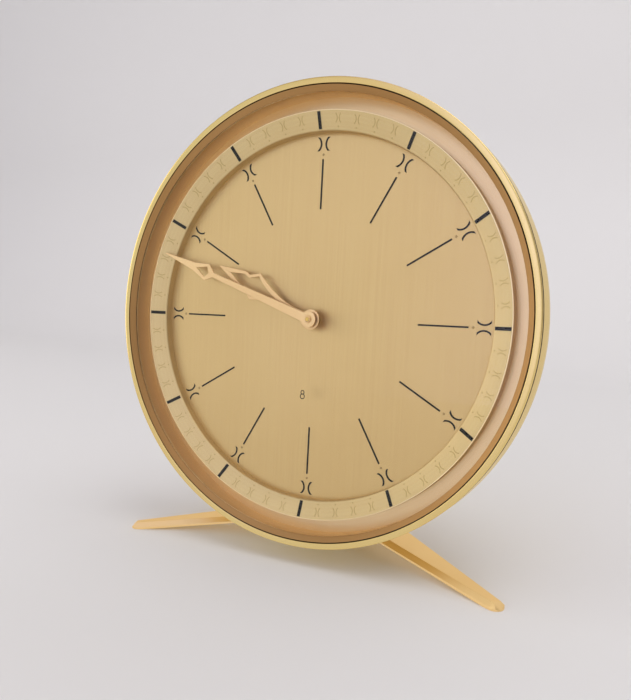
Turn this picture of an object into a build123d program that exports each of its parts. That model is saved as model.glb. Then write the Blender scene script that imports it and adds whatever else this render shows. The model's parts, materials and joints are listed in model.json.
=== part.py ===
from build123d import *
import os
from math import atan2, cos, degrees, hypot, radians, sin, tan

os.makedirs("parts", exist_ok=True)

# Lengths are millimetres and angles are degrees.
# Clock frame: x to the right, y up the dial, z out of the dial towards the reader, z = 0 on the dial face.
# Row frame: +Z up from the table, the reader on the -Y side, origin on the table under the middle of the box.

# Case, bezel and glass
recline = 5.0
case_radius = 90.0
case_wall = 2.0
side_back = 0.5
shoulder_depth = 36.0
floor_gap = 6.9
bezel_above_glass = 1.9
bezel_thickness = 2.1
bezel_width = 2.4
bezel_round = 0.7
groove_width = 0.4
groove_depth = 1.4
lip_width = 2.1
lip_drop = 0.1
lip_edge = 0.1
line_height = 0.3
skirt_wall = 0.9
skirt_gap = 0.2
glass_gap = 0.7
glass_thickness = 1.5
well_wall = 2.5
ledge_width = 6.0
ledge_thickness = 2.5
cover_radius = 46.0
cover_inset = 8.0
cover_lap = 6.0
cover_thickness = 1.6
cover_screw_count = 4
seat_gap = 0.1
seam = 0.5
overcut = 1.0

# Dial
dial_thickness = 1.5
flange_width = 5.9
ring_width = 7.3
ring_inner_height = 3.3
ring_outer_height = 5.7
ring_edge = 0.35
hour_count = 12
bar_width = 1.3
bar_end_gap = 0.25
line_length = 19.2
line_gap = 3.1
line_width = 0.65
arc_inset = 4.1
arc_length = 5.2
arc_gap = 1.4
arc_sagitta = 1.2
enamel = 0.14

# Hands
minute_angle = 289.7
hour_angle = 295.0
hand_thickness = 0.6
hand_gap = 0.9
hand_spacing = 1.3
minute_hub_radius = 3.3
hour_hub_radius = 4.0
minute_overlap = 3.6
minute_root_half = 1.85
minute_neck_half = 0.95
minute_neck_share = 0.645
lozenge_half = 3.6
lozenge_share = 0.69
lozenge_wall = 1.35
lozenge_round = 0.8
lozenge_window_share = 0.677
minute_shoulder_half = 1.7
minute_shoulder_share = 0.785
hand_tip_half = 0.25
hour_reach_share = 0.639
hour_root_half = 2.0
hour_waist_half = 1.3
hour_waist_share = 0.31
leaf_half = 5.9
leaf_share = 0.602
notch_half = 3.2
notch_share = 0.689
barb_half = 3.7
barb_share = 0.74
leaf_wall = 1.3
leaf_waist_wall = 1.8
leaf_window_start_share = 0.37
leaf_window_end_share = 0.88
nut_radius = 1.2
nut_height = 0.5

# Movement
plate_radius = 33.0
front_plate_thickness = 2.2
back_plate_thickness = 2.0
motion_space = 4.3
barrel_shake = 1.25
pillar_radius = 2.0
pillar_ring = 29.0
pillar_angles = (198.0, 134.0, 74.0, -6.0, -75.0)
foot_angles = (165.0, 45.0, -20.0)
foot_radius = 1.6
screw_radius = 0.9
screw_head_radius = 1.7
screw_head = 0.9
pivot_radius = 0.45
running_gap = 0.05
free_gap = 0.2
screw_grip = 3.0
wheel_thickness = 0.65
wheel_rim = 1.2
wheel_collar = 0.9
pinion_overhang = 0.5
end_shake = 0.2
level_gap = 0.45
arbor_radius = 0.55
centre_arbor_radius = 0.8
cannon_radius = 1.5
hour_pipe_radius = 2.2
roller_radius = 1.6
impulse_radius = 0.25

# Tooth counts and modules
barrel_teeth = 75
barrel_module = 0.32
intermediate_pinion_teeth = 12
intermediate_teeth = 60
intermediate_module = 0.30
centre_pinion_teeth = 12
centre_teeth = 64
centre_module = 0.28
third_pinion_teeth = 8
third_teeth = 60
third_module = 0.28
fourth_pinion_teeth = 8
fourth_teeth = 80
fourth_module = 0.20
escape_pinion_teeth = 8
escape_teeth = 15
cannon_teeth = 12
minute_wheel_teeth = 36
motion_module = 0.36
minute_pinion_teeth = 10
hour_wheel_teeth = 40
setting_pinion_teeth = 12
ratchet_teeth = 24

# Directions from one arbor to the next
intermediate_direction = 205.0
barrel_direction = 285.0
third_direction = 60.0
fourth_direction = 0.0
escape_direction = 270.0
lever_direction = 280.0
minute_wheel_direction = 120.0
setting_direction = 150.0

# Escapement, barrel and winding work
escape_radius = 4.5
escape_tooth = 1.0
escape_shares = (0.42, 0.5, 0.55)
lever_offset = 6.6
fork_length = 5.8
fork_width = 2.4
fork_depth = 1.4
fork_slot = 0.9
lever_width = 1.1
lever_boss = 1.2
pallet_outline = ((0.6, 0.0), (-2.1, 3.3), (-2.5, 3.9), (-1.3, 3.9))
balance_offset = 7.0
balance_rim = 1.0
balance_gap = 0.8
balance_boss = 1.3
balance_arm = 1.0
hairspring_inner = 1.3
hairspring_pitch = 0.62
hairspring_turns = 4
hairspring_thickness = 0.16
hairspring_height = 0.4
hairspring_stud_radius = 0.4
cock_width = 5.2
cock_arm_width = 1.6
cock_boss_radius = 1.3
cock_boss_height = 0.9
regulator_radius = 2.4
regulator_reach = 6.4
regulator_width = 0.8
regulator_thickness = 0.6
barrel_drum_height = 5.4
barrel_wall = 0.8
barrel_step = 0.35
barrel_core_radius = 3.0
barrel_arbor_radius = 1.6
mainspring_thickness = 0.5
mainspring_turns = 5
ratchet_radius = 6.5
ratchet_tooth = 0.9
ratchet_share = 0.94
click_gap = 2.6
click_clear = 0.15
click_width = 1.0
click_leaf = 0.7
click_length = 6.0
key_width = 22.0
key_height = 9.0
key_thickness = 2.4
key_hub_radius = 3.6
key_round = 3.7
key_sink = 0.5
setting_arbor_radius = 1.0
knob_radius = 6.0
knob_height = 6.0
knob_flutes = 18
knob_round = 0.8
flute_radius = 0.6
flute_offset = 0.25
knob_gap = 0.8

# Stand
leg_reach = 97.8
leg_spread = 31.0
leg_root = 9.0
leg_root_half = 10.0
leg_tip_half = 3.2
leg_thickness = 2.8
leg_edge = 0.7
leg_bevel = 1.8
leg_pitch = 5.2
leg_flat = 0.45
hub_behind_dial = 33.0
hub_radius = 16.0
hub_cover = 1.6
post_radius = 6.5
post_offset = 9.0
stand_bolt_radius = 2.0
stand_bolt_grip = 6.0
leg_screw_at = 12.4

# Sizes that follow from the ones above
tilt_cos = cos(radians(recline))
tilt_sin = sin(radians(recline))
flat_radius = cover_radius + cover_inset
back_depth = side_back + shoulder_depth
inner_radius = case_radius - case_wall
opening_radius = cover_radius - cover_lap
well_radius = inner_radius - well_wall
ring_outer_radius = well_radius - flange_width
ring_inner_radius = ring_outer_radius - ring_width
arc_centre_radius = ring_inner_radius - arc_inset
line_outer_radius = arc_centre_radius - arc_length / 2 - line_gap
line_inner_radius = line_outer_radius - line_length
minute_reach = ring_inner_radius + minute_overlap
minute_neck = minute_neck_share * minute_reach
lozenge_at = lozenge_share * minute_reach
lozenge_window = lozenge_window_share * minute_reach
minute_shoulder = minute_shoulder_share * minute_reach
hour_reach = hour_reach_share * minute_reach
hour_waist = hour_waist_share * hour_reach
leaf_at = leaf_share * hour_reach
notch_at = notch_share * hour_reach
barb_at = barb_share * hour_reach
leaf_window_half = leaf_half - leaf_wall
leaf_window_start = leaf_window_start_share * hour_reach
leaf_window_end = leaf_window_end_share * hour_reach
ring_run = ring_outer_radius - ring_inner_radius - 2 * ring_edge
ring_climb = ring_outer_height - ring_inner_height
ring_slope = degrees(atan2(ring_climb, ring_run))
minute_hand_height = ring_inner_height + (minute_reach - ring_inner_radius) * ring_climb / ring_run + hand_gap
minute_top = minute_hand_height + hand_thickness
hour_top = minute_hand_height - hand_spacing
hour_hand_height = hour_top - hand_thickness
glass_height = minute_top + nut_height + glass_gap
glass_front = glass_height + glass_thickness
bezel_front = glass_front + bezel_above_glass
bezel_back = bezel_front - bezel_thickness
groove_outer = case_radius - bezel_width
groove_inner = groove_outer - groove_width
lip_inner = groove_inner - lip_width
cover_back = back_depth + cover_thickness
plate_front = dial_thickness + motion_space
plate_back = plate_front + front_plate_thickness

# Levels of the wheels behind the front plate, and the back plate behind the barrel
centre_level = -plate_back - level_gap - pinion_overhang - wheel_thickness
intermediate_level = centre_level - 2.5 * level_gap - wheel_thickness
lid_front = intermediate_level - level_gap - pinion_overhang / 2
lid_back = lid_front - wheel_thickness
drum_back = lid_back - barrel_drum_height
barrel_back = drum_back - wheel_thickness
escape_level = intermediate_level - 3 * wheel_thickness
third_level = escape_level - 2 * wheel_thickness
fourth_level = third_level - 5 * wheel_thickness
rear_plate_front = barrel_shake - barrel_back
rear_plate_back = rear_plate_front + back_plate_thickness
balance_level = level_gap - rear_plate_front
ratchet_front = -rear_plate_back - level_gap
balance_radius = balance_offset - balance_gap
balance_window = balance_radius + balance_gap
cock_length = balance_window + cock_width / 2

# Place of the clock in the row frame
dial_height = floor_gap + case_radius * tilt_cos
front_reach = bezel_front * tilt_cos + case_radius * tilt_sin
rear_reach = hub_behind_dial + leg_reach
dial_y = (front_reach - rear_reach) / 2
clock_place = Plane((0, dial_y, dial_height), x_dir=(1, 0, 0), z_dir=(0, -tilt_cos, tilt_sin)).location


def polar(radius, angle):
    return (radius * cos(radians(angle)), radius * sin(radians(angle)))


def step_from(start, distance, angle):
    dx, dy = polar(distance, angle)
    return (start[0] + dx, start[1] + dy)


def rod(place, radius, low, high):
    return Pos(place[0], place[1], low) * extrude(Circle(radius), high - low)


def ring(outer, inner, low, high, place=(0, 0)):
    return Pos(place[0], place[1], low) * extrude(Circle(outer) - Circle(inner), high - low)


def turned(*profile):
    points = [(r, 0, z) for r, z in profile]
    return revolve(make_face(Polyline(*points, close=True)), Axis.Z)


def slab(sketch, low, high):
    return Pos(0, 0, low) * extrude(sketch, high - low)


def screw(place, low, high, head_at):
    head_low, head_high = head_at
    return rod(place, screw_radius, low, high) + rod(place, screw_head_radius, head_low, head_high)


# Toothed wheels: straight flanks, thinner than half the pitch so that a pair turns freely
wheel_tooth = {"addendum": 0.95, "dedendum": 1.3, "root": 0.27, "pitch": 0.19, "tip": 0.06}
pinion_tooth = {"addendum": 0.75, "dedendum": 1.3, "root": 0.24, "pitch": 0.17, "tip": 0.08}


def toothed(teeth, module, phase, tooth):
    pitch_radius = module * teeth / 2
    step = 360 / teeth
    corners = (
        (pitch_radius - tooth["dedendum"] * module, -tooth["root"]),
        (pitch_radius, -tooth["pitch"]),
        (pitch_radius + tooth["addendum"] * module, -tooth["tip"]),
        (pitch_radius + tooth["addendum"] * module, tooth["tip"]),
        (pitch_radius, tooth["pitch"]),
        (pitch_radius - tooth["dedendum"] * module, tooth["root"]),
    )
    points = [polar(r, phase + (k + share) * step) for k in range(teeth) for r, share in corners]
    return make_face(Polyline(*points, close=True))


def mesh_phase(teeth_a, phase_a, teeth_b, direction):
    """Phase of wheel b, so that its gap faces a tooth of wheel a across the line of centres."""
    passed = (direction - phase_a) * teeth_a / 360
    return direction + 180 - (0.5 - passed) * 360 / teeth_b


def tip_radius(teeth, module, tooth=wheel_tooth):
    return module * (teeth / 2 + tooth["addendum"])


def root_radius(teeth, module, tooth=wheel_tooth):
    return module * (teeth / 2 - tooth["dedendum"])


def crossings(rim, hub, arms=4):
    """Windows between the arms of a wheel."""
    windows = Circle(rim) - Circle(hub)
    for k in range(arms):
        windows -= Rot(0, 0, k * 360 / arms) * Pos(rim / 2, 0) * Rectangle(rim + 1, hub)
    return windows


def train_wheel(place, teeth, module, phase, low, bore):
    rim = root_radius(teeth, module) - wheel_rim
    face = toothed(teeth, module, phase, wheel_tooth) - crossings(rim, bore + wheel_collar) - Circle(bore)
    return Pos(*place) * slab(face, low, low + wheel_thickness)


def train_pinion(place, teeth, module, phase, low, high, bore):
    face = toothed(teeth, module, phase, pinion_tooth) - Circle(bore)
    return Pos(*place) * slab(face, low, high)


def pivoted_arbor(place, radius):
    """Arbor between the plates, with a thinner pivot in each."""
    low = -rear_plate_front + end_shake
    high = -plate_back - end_shake
    body = rod(place, radius, low, high)
    return body + rod(place, pivot_radius, low - back_plate_thickness, high + front_plate_thickness)


# Places of the arbors
centre = (0.0, 0.0)
intermediate_gap = intermediate_module * (intermediate_teeth + centre_pinion_teeth) / 2
intermediate = step_from(centre, intermediate_gap, intermediate_direction)
barrel_gap = barrel_module * (barrel_teeth + intermediate_pinion_teeth) / 2
barrel_at = step_from(intermediate, barrel_gap, barrel_direction)
third = step_from(centre, centre_module * (centre_teeth + third_pinion_teeth) / 2, third_direction)
fourth = step_from(third, third_module * (third_teeth + fourth_pinion_teeth) / 2, fourth_direction)
escape = step_from(fourth, fourth_module * (fourth_teeth + escape_pinion_teeth) / 2, escape_direction)
lever_at = step_from(escape, lever_offset, lever_direction)
balance_at = step_from(lever_at, balance_offset, lever_direction)
motion_gap = motion_module * (cannon_teeth + minute_wheel_teeth) / 2
hour_module = 2 * motion_gap / (minute_pinion_teeth + hour_wheel_teeth)
minute_wheel_at = step_from(centre, motion_gap, minute_wheel_direction)
setting_gap = motion_module * (minute_wheel_teeth + setting_pinion_teeth) / 2
setting_at = step_from(minute_wheel_at, setting_gap, setting_direction)

# Phases that put every pair in mesh at rest
intermediate_phase = 0.0
centre_pinion_phase = mesh_phase(
    intermediate_teeth, intermediate_phase, centre_pinion_teeth, intermediate_direction + 180
)
intermediate_pinion_phase = 0.0
barrel_phase = mesh_phase(
    intermediate_pinion_teeth, intermediate_pinion_phase, barrel_teeth, barrel_direction
)
centre_phase = 0.0
third_pinion_phase = mesh_phase(centre_teeth, centre_phase, third_pinion_teeth, third_direction)
third_phase = 0.0
fourth_pinion_phase = mesh_phase(third_teeth, third_phase, fourth_pinion_teeth, fourth_direction)
fourth_phase = 0.0
escape_pinion_phase = mesh_phase(fourth_teeth, fourth_phase, escape_pinion_teeth, escape_direction)
cannon_phase = 0.0
minute_wheel_phase = mesh_phase(cannon_teeth, cannon_phase, minute_wheel_teeth, minute_wheel_direction)
minute_pinion_phase = 0.0
hour_wheel_phase = mesh_phase(
    minute_pinion_teeth, minute_pinion_phase, hour_wheel_teeth, minute_wheel_direction + 180
)
setting_phase = mesh_phase(minute_wheel_teeth, minute_wheel_phase, setting_pinion_teeth, setting_direction)


# Case shell: straight side, round shoulder, flat back with an opening, dial ledge and post for the stand
def solid_of_case(outer, depth, front):
    """Full body of revolution inside an outline of the case."""
    back = -side_back - depth
    shoulder = EllipticalCenterArc((flat_radius, -side_back), outer - flat_radius, depth, 270, arc_size=90)
    outline = [
        Line((0, 0, back), (flat_radius, 0, back)),
        Plane.XZ * shoulder,
        Line((outer, 0, -side_back), (outer, 0, front)),
        Line((outer, 0, front), (0, 0, front)),
        Line((0, 0, front), (0, 0, back)),
    ]
    return revolve(make_face(outline), Axis.Z)


shell_front = bezel_back - seam
cavity = solid_of_case(inner_radius, shoulder_depth - case_wall, bezel_front)
shell = solid_of_case(case_radius, shoulder_depth, shell_front) - cavity
shell -= rod(centre, opening_radius, -back_depth - overcut, -back_depth + case_wall + overcut)
ledge_back = -dial_thickness - ledge_thickness
shell += ring(inner_radius + case_wall / 2, inner_radius - ledge_width, ledge_back, -dial_thickness)
cover_screw_ring = (opening_radius + cover_radius) / 2
cover_screw_step = 360 / cover_screw_count
cover_screw_places = [
    polar(cover_screw_ring, (k + 0.5) * cover_screw_step) for k in range(cover_screw_count)
]
for place in cover_screw_places:
    shell -= rod(place, screw_radius + running_gap, -back_depth - overcut, -back_depth + case_wall + overcut)

# Stand: three blades round a hub; each blade climbs from its tip on the table to the hub
hub_y = dial_y + hub_behind_dial
leg_side = degrees(atan2(leg_root_half - leg_tip_half, leg_reach - leg_root))
bevel_slope = degrees(atan2(leg_thickness - leg_edge, leg_bevel))


def blade():
    tip_centre = leg_reach - leg_tip_half
    outline = [
        Line((leg_root, -leg_root_half), (tip_centre, -leg_tip_half)),
        ThreePointArc((tip_centre, -leg_tip_half), (leg_reach, 0), (tip_centre, leg_tip_half)),
        Line((tip_centre, leg_tip_half), (leg_root, leg_root_half)),
        Line((leg_root, leg_root_half), (leg_root, -leg_root_half)),
    ]
    body = extrude(make_face(outline), leg_thickness)
    size = 2 * leg_reach
    for side in (-1, 1):
        cutter = Pos(0, 0, size / 2) * Box(size, size, size)
        cutter = Rot(0, 0, -side * leg_side) * Rot(-side * bevel_slope, 0, 0) * cutter
        body -= Pos(leg_root, side * leg_root_half, leg_edge) * cutter
    tip_cutter = Pos(0, 0, size / 2) * Box(size, size, size)
    body -= Pos(leg_reach, 0, leg_edge) * Rot(0, 90 - bevel_slope, 0) * tip_cutter
    return body


def placed_leg(angle):
    """Blade tipped so that its end lies on the table, with the end cut flat there."""
    tipped = Pos(leg_reach, 0, -leg_flat) * Rot(0, leg_pitch, 0) * Pos(-leg_reach, 0, 0) * blade()
    size = 4 * leg_reach
    tipped -= Pos(0, 0, -size / 2) * Box(size, size, size)
    return Pos(0, hub_y, 0) * Rot(0, 0, angle) * tipped


leg_angles = {"leg_right": -leg_spread, "leg_left": 180 + leg_spread, "leg_rear": 90.0}
legs = {name: placed_leg(angle) for name, angle in leg_angles.items()}
leg_rise = (leg_reach - leg_root) * tan(radians(leg_pitch)) - leg_flat
hub_bottom = leg_rise - (hub_radius - leg_root) * tan(radians(leg_pitch)) - hub_cover
hub_top = leg_rise + leg_thickness / cos(radians(leg_pitch)) + hub_cover
post_at = (0.0, hub_y - post_offset)
post = rod(post_at, post_radius, hub_top, dial_height - flat_radius)
case_shell = clock_place * shell + (post - clock_place * cavity)
bolt_top = hub_top + stand_bolt_grip
case_shell -= rod(post_at, stand_bolt_radius + running_gap, hub_top - overcut, bolt_top + overcut)

stand_hub = rod((0, hub_y), hub_radius, hub_bottom, hub_top)
stand_hub -= rod(post_at, stand_bolt_radius + running_gap, hub_bottom - overcut, hub_top + overcut)
leg_screws = []
for leg in legs.values():
    stand_hub -= leg
for name, angle in leg_angles.items():
    spot = step_from((0, hub_y), leg_screw_at, angle)
    hole_top = hub_top - hub_cover / 2
    hole = rod(spot, screw_radius + running_gap, hub_bottom - overcut, hole_top)
    legs[name] -= hole
    stand_hub -= hole
    leg_screws.append(screw(spot, hub_bottom, hole_top - end_shake, (hub_bottom - screw_head, hub_bottom)))
stand_bolt = rod(post_at, stand_bolt_radius, hub_bottom, bolt_top)
stand_bolt += rod(post_at, 2 * stand_bolt_radius, hub_bottom - stand_bolt_radius, hub_bottom)

# Bezel with its groove, black ring, lip and skirt
skirt_outer = inner_radius - seat_gap
skirt_inner = skirt_outer - skirt_wall
groove_floor = bezel_front - groove_depth
bezel = turned(
    (lip_inner, glass_front),
    (lip_inner, glass_front + lip_edge),
    (groove_inner, bezel_front - lip_drop),
    (groove_inner, groove_floor),
    (groove_outer, groove_floor),
    (groove_outer, bezel_front - bezel_round / 2),
    (groove_outer + bezel_round, bezel_front),
    (case_radius - bezel_round, bezel_front),
    (case_radius, bezel_front - bezel_round),
    (case_radius, bezel_back),
    (skirt_outer, bezel_back),
    (skirt_outer, glass_height + skirt_gap),
    (skirt_inner, glass_height + skirt_gap),
    (skirt_inner, glass_front),
)
line_outer = groove_outer - seat_gap / 2
line_inner = groove_inner + seat_gap / 2
bezel_line = ring(line_outer, line_inner, groove_floor, groove_floor + line_height)
glass = rod(centre, skirt_inner - seat_gap, glass_height, glass_front)
well_ring = ring(inner_radius - seat_gap, well_radius, 0, glass_height)

# Dial with its raised ring and black markings
dial_plate = ring(inner_radius - seat_gap, hour_pipe_radius + free_gap, -dial_thickness, 0)
minute_ring = turned(
    (ring_inner_radius, 0),
    (ring_inner_radius, ring_inner_height - ring_edge),
    (ring_inner_radius + ring_edge, ring_inner_height),
    (ring_outer_radius - ring_edge, ring_outer_height),
    (ring_outer_radius, ring_outer_height - ring_edge),
    (ring_outer_radius, 0),
)


def hour_places():
    return [Rot(0, 0, -k * 360 / hour_count) for k in range(hour_count)]


def hour_bar():
    """Bar that lies along the slope of the raised ring."""
    length = hypot(ring_run, ring_climb) - 2 * bar_end_gap
    bar = Pos(0, length / 2 + bar_end_gap, enamel / 2) * Box(bar_width, length, enamel)
    return Pos(0, ring_inner_radius + ring_edge, ring_inner_height) * Rot(ring_slope, 0, 0) * bar


def hour_line():
    middle = (line_inner_radius + line_outer_radius) / 2
    return Pos(0, middle, enamel / 2) * Box(line_width, line_length, enamel)


def hour_arc(side):
    """One of the two arcs that stand back to back between the line and the bar."""
    radius = arc_length**2 / (8 * arc_sagitta) + arc_sagitta / 2
    offset = arc_gap / 2 + line_width / 2 + radius
    stroke = Pos(side * offset, 0) * (Circle(radius + line_width / 2) - Circle(radius - line_width / 2))
    window = Pos(side * (offset - radius), 0) * Rectangle(2 * radius, arc_length)
    return Pos(0, arc_centre_radius) * extrude(stroke & window, enamel)


hour_bars = [place * hour_bar() for place in hour_places()]
hour_lines = [place * hour_line() for place in hour_places()]
hour_arcs = [place * hour_arc(side) for place in hour_places() for side in (-1, 1)]


# Hands, drawn pointing to twelve and turned to the time
def mirrored(points):
    return points + [(-x, y) for x, y in reversed(points)]


def minute_hand_face():
    edge = mirrored(
        [
            (minute_root_half, minute_hub_radius / 2),
            (minute_neck_half, minute_neck),
            (lozenge_half, lozenge_at),
            (minute_shoulder_half, minute_shoulder),
            (hand_tip_half, minute_reach),
        ]
    )
    window = mirrored(
        [
            (0.0, lozenge_window),
            (lozenge_half - lozenge_wall, lozenge_at + lozenge_wall / 2),
            (0.0, minute_shoulder - lozenge_wall),
        ]
    )
    window = [window[0], window[1], window[2], window[4]]
    blade_face = make_face(Polyline(*edge, close=True))
    reach = (lozenge_at - lozenge_round, lozenge_at + lozenge_round)
    corners = blade_face.vertices().filter_by_position(Axis.Y, *reach)
    face = fillet(corners, lozenge_round) + Circle(minute_hub_radius)
    return face - make_face(Polyline(*window, close=True))


def hour_hand_face():
    edge = []
    window = []
    for side in (-1, 1):
        edge += [
            Spline(
                (side * hour_root_half, hour_hub_radius / 2),
                (side * hour_waist_half, hour_waist),
                (side * (leaf_half - leaf_wall), leaf_at - leaf_half / 2),
                (side * leaf_half, leaf_at),
            ),
            Polyline(
                (side * leaf_half, leaf_at),
                (side * notch_half, notch_at),
                (side * barb_half, barb_at),
                (side * hand_tip_half, hour_reach),
            ),
        ]
        window += [
            Spline(
                (0, leaf_window_start),
                (side * (leaf_window_half - leaf_waist_wall), leaf_at - leaf_half / 2),
                (side * leaf_window_half, leaf_at),
            ),
            Polyline(
                (side * leaf_window_half, leaf_at),
                (side * (notch_half - leaf_wall), notch_at - leaf_wall / 4),
                (side * (barb_half - leaf_wall), barb_at),
                (0, leaf_window_end),
            ),
        ]
    edge.append(Line((-hour_root_half, hour_hub_radius / 2), (hour_root_half, hour_hub_radius / 2)))
    edge.append(Line((-hand_tip_half, hour_reach), (hand_tip_half, hour_reach)))
    return make_face(edge) + Circle(hour_hub_radius) - make_face(window)


minute_face = minute_hand_face() - Circle(cannon_radius)
hour_face = hour_hand_face() - Circle(hour_pipe_radius)
minute_hand = Rot(0, 0, -minute_angle) * slab(minute_face, minute_hand_height, minute_top)
hour_hand = Rot(0, 0, -hour_angle) * slab(hour_face, hour_hand_height, hour_top)
hand_nut = ring(nut_radius, centre_arbor_radius + running_gap, minute_top, minute_top + nut_height)

# Motion work between the dial and the front plate
cannon_low = -plate_front + end_shake
cannon_high = cannon_low + 2 * wheel_thickness
cannon_bore = centre_arbor_radius + running_gap
cannon_pinion = train_pinion(
    centre, cannon_teeth, motion_module, cannon_phase, cannon_low, cannon_high, cannon_bore
)
cannon_pinion += ring(cannon_radius, cannon_bore, cannon_low, minute_top)
hour_wheel_low = cannon_high + level_gap
hour_bore = cannon_radius + running_gap
hour_wheel = train_wheel(centre, hour_wheel_teeth, hour_module, hour_wheel_phase, hour_wheel_low, hour_bore)
hour_wheel += ring(hour_pipe_radius, hour_bore, hour_wheel_low, hour_top)
stud_radius = arbor_radius
minute_wheel = train_wheel(
    minute_wheel_at,
    minute_wheel_teeth,
    motion_module,
    minute_wheel_phase,
    cannon_low + wheel_thickness / 2,
    stud_radius + running_gap,
)
minute_wheel += train_pinion(
    minute_wheel_at,
    minute_pinion_teeth,
    hour_module,
    minute_pinion_phase,
    cannon_low + wheel_thickness / 2,
    hour_wheel_low + wheel_thickness + level_gap / 2,
    stud_radius + running_gap,
)
minute_stud = rod(minute_wheel_at, stud_radius, -plate_back, -dial_thickness - end_shake)
setting_low = cannon_low + wheel_thickness / 4
setting_arbor = Pos(*setting_at) * slab(
    toothed(setting_pinion_teeth, motion_module, setting_phase, pinion_tooth),
    setting_low,
    setting_low + 1.5 * wheel_thickness,
)
setting_arbor += rod(setting_at, setting_arbor_radius, -cover_back - knob_gap - knob_height / 2, setting_low)

# Movement plates, pillars and screws
front_plate = rod(centre, plate_radius, -plate_back, -plate_front)
back_plate = rod(centre, plate_radius, -rear_plate_back, -rear_plate_front)
pillars = []
pillar_screws = []
for angle in pillar_angles:
    spot = polar(pillar_ring, angle)
    hole = rod(spot, screw_radius + running_gap, -rear_plate_back - overcut, -rear_plate_front + screw_grip)
    pillars.append(rod(spot, pillar_radius, -rear_plate_front, -plate_back) - hole)
    back_plate -= hole
    screw_end = -rear_plate_front + screw_grip - end_shake
    head = (-rear_plate_back - screw_head, -rear_plate_back)
    pillar_screws.append(screw(spot, -rear_plate_back, screw_end, head))

# Dial feet: shouldered posts that stand on the front plate and hold the dial
dial_feet = []
foot_nuts = []
for angle in foot_angles:
    spot = polar(pillar_ring, angle)
    foot_end = -plate_back - 2 * screw_head
    shank = rod(spot, screw_radius, foot_end, -plate_front)
    dial_feet.append(rod(spot, foot_radius, -plate_front, -dial_thickness) + shank)
    front_plate -= rod(spot, screw_radius + running_gap, -plate_back - overcut, -plate_front + overcut)
    foot_nuts.append(ring(screw_head_radius, screw_radius + running_gap, foot_end, -plate_back, spot))

# Pivot holes
def front_hole(place, radius):
    return rod(place, radius, -plate_back - overcut, -plate_front + overcut)


def back_hole(place, radius):
    return rod(place, radius, -rear_plate_back - overcut, -rear_plate_front + overcut)


for place, radius in (
    (intermediate, pivot_radius),
    (third, pivot_radius),
    (fourth, pivot_radius),
    (escape, pivot_radius),
    (lever_at, pivot_radius),
    (centre, centre_arbor_radius),
    (barrel_at, barrel_arbor_radius),
    (setting_at, setting_arbor_radius),
):
    front_plate -= front_hole(place, radius + running_gap)
    back_plate -= back_hole(place, radius + running_gap)
back_plate -= back_hole(balance_at, balance_window)
front_plate -= front_hole(balance_at, pivot_radius + running_gap)
front_plate -= front_hole(minute_wheel_at, stud_radius)

# Going train
intermediate_wheel = train_wheel(
    intermediate,
    intermediate_teeth,
    intermediate_module,
    intermediate_phase,
    intermediate_level,
    arbor_radius,
)
intermediate_wheel += pivoted_arbor(intermediate, arbor_radius)
intermediate_wheel += train_pinion(
    intermediate,
    intermediate_pinion_teeth,
    barrel_module,
    intermediate_pinion_phase,
    barrel_back - pinion_overhang / 2,
    drum_back + pinion_overhang / 2,
    arbor_radius / 2,
)
centre_wheel = train_wheel(
    centre, centre_teeth, centre_module, centre_phase, centre_level, centre_arbor_radius
)
centre_wheel += train_pinion(
    centre,
    centre_pinion_teeth,
    intermediate_module,
    centre_pinion_phase,
    intermediate_level - pinion_overhang / 2,
    centre_level,
    centre_arbor_radius / 2,
)
centre_wheel += rod(centre, centre_arbor_radius, -rear_plate_back + end_shake, minute_top + nut_height)
third_wheel = train_wheel(third, third_teeth, third_module, third_phase, third_level, arbor_radius)
third_wheel += pivoted_arbor(third, arbor_radius)
third_wheel += train_pinion(
    third,
    third_pinion_teeth,
    centre_module,
    third_pinion_phase,
    centre_level - pinion_overhang,
    centre_level + wheel_thickness + pinion_overhang / 2,
    arbor_radius / 2,
)
fourth_wheel = train_wheel(fourth, fourth_teeth, fourth_module, fourth_phase, fourth_level, arbor_radius)
fourth_wheel += pivoted_arbor(fourth, arbor_radius)
fourth_wheel += train_pinion(
    fourth,
    fourth_pinion_teeth,
    third_module,
    fourth_pinion_phase,
    third_level - pinion_overhang,
    third_level + wheel_thickness + pinion_overhang,
    arbor_radius / 2,
)


def escape_face():
    """Pointed teeth that lean forward, on a thin rim with arms."""
    step = 360 / escape_teeth
    root = escape_radius - escape_tooth
    tip_start, tip_end, heel = escape_shares
    points = []
    for k in range(escape_teeth):
        points += [polar(root, k * step), polar(escape_radius, (k + tip_start) * step)]
        points += [polar(escape_radius, (k + tip_end) * step), polar(root, (k + heel) * step)]
    face = make_face(Polyline(*points, close=True))
    return face - crossings(root - wheel_rim / 2, arbor_radius + wheel_collar)


escape_wheel = Pos(*escape) * slab(escape_face(), escape_level, escape_level + wheel_thickness)
escape_wheel += pivoted_arbor(escape, pivot_radius + running_gap)
escape_wheel += train_pinion(
    escape,
    escape_pinion_teeth,
    fourth_module,
    escape_pinion_phase,
    fourth_level - pinion_overhang,
    fourth_level + wheel_thickness + pinion_overhang,
    pivot_radius / 2,
)


# Escapement: lever with fork and pallets, balance with roller and pin, flat spring, cock and regulator
def lever_face():
    stem = fork_length - fork_depth / 2
    face = Pos(stem / 2, 0) * Rectangle(stem, lever_width)
    face += Pos(fork_length - fork_depth / 2, 0) * Rectangle(fork_depth, fork_width)
    face += Circle(lever_boss)
    for side in (-1, 1):
        arm = [(x, side * y) for x, y in pallet_outline]
        face += make_face(Polyline(*arm, close=True))
    return face - Pos(fork_length, 0) * Rectangle(fork_depth, fork_slot)


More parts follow.
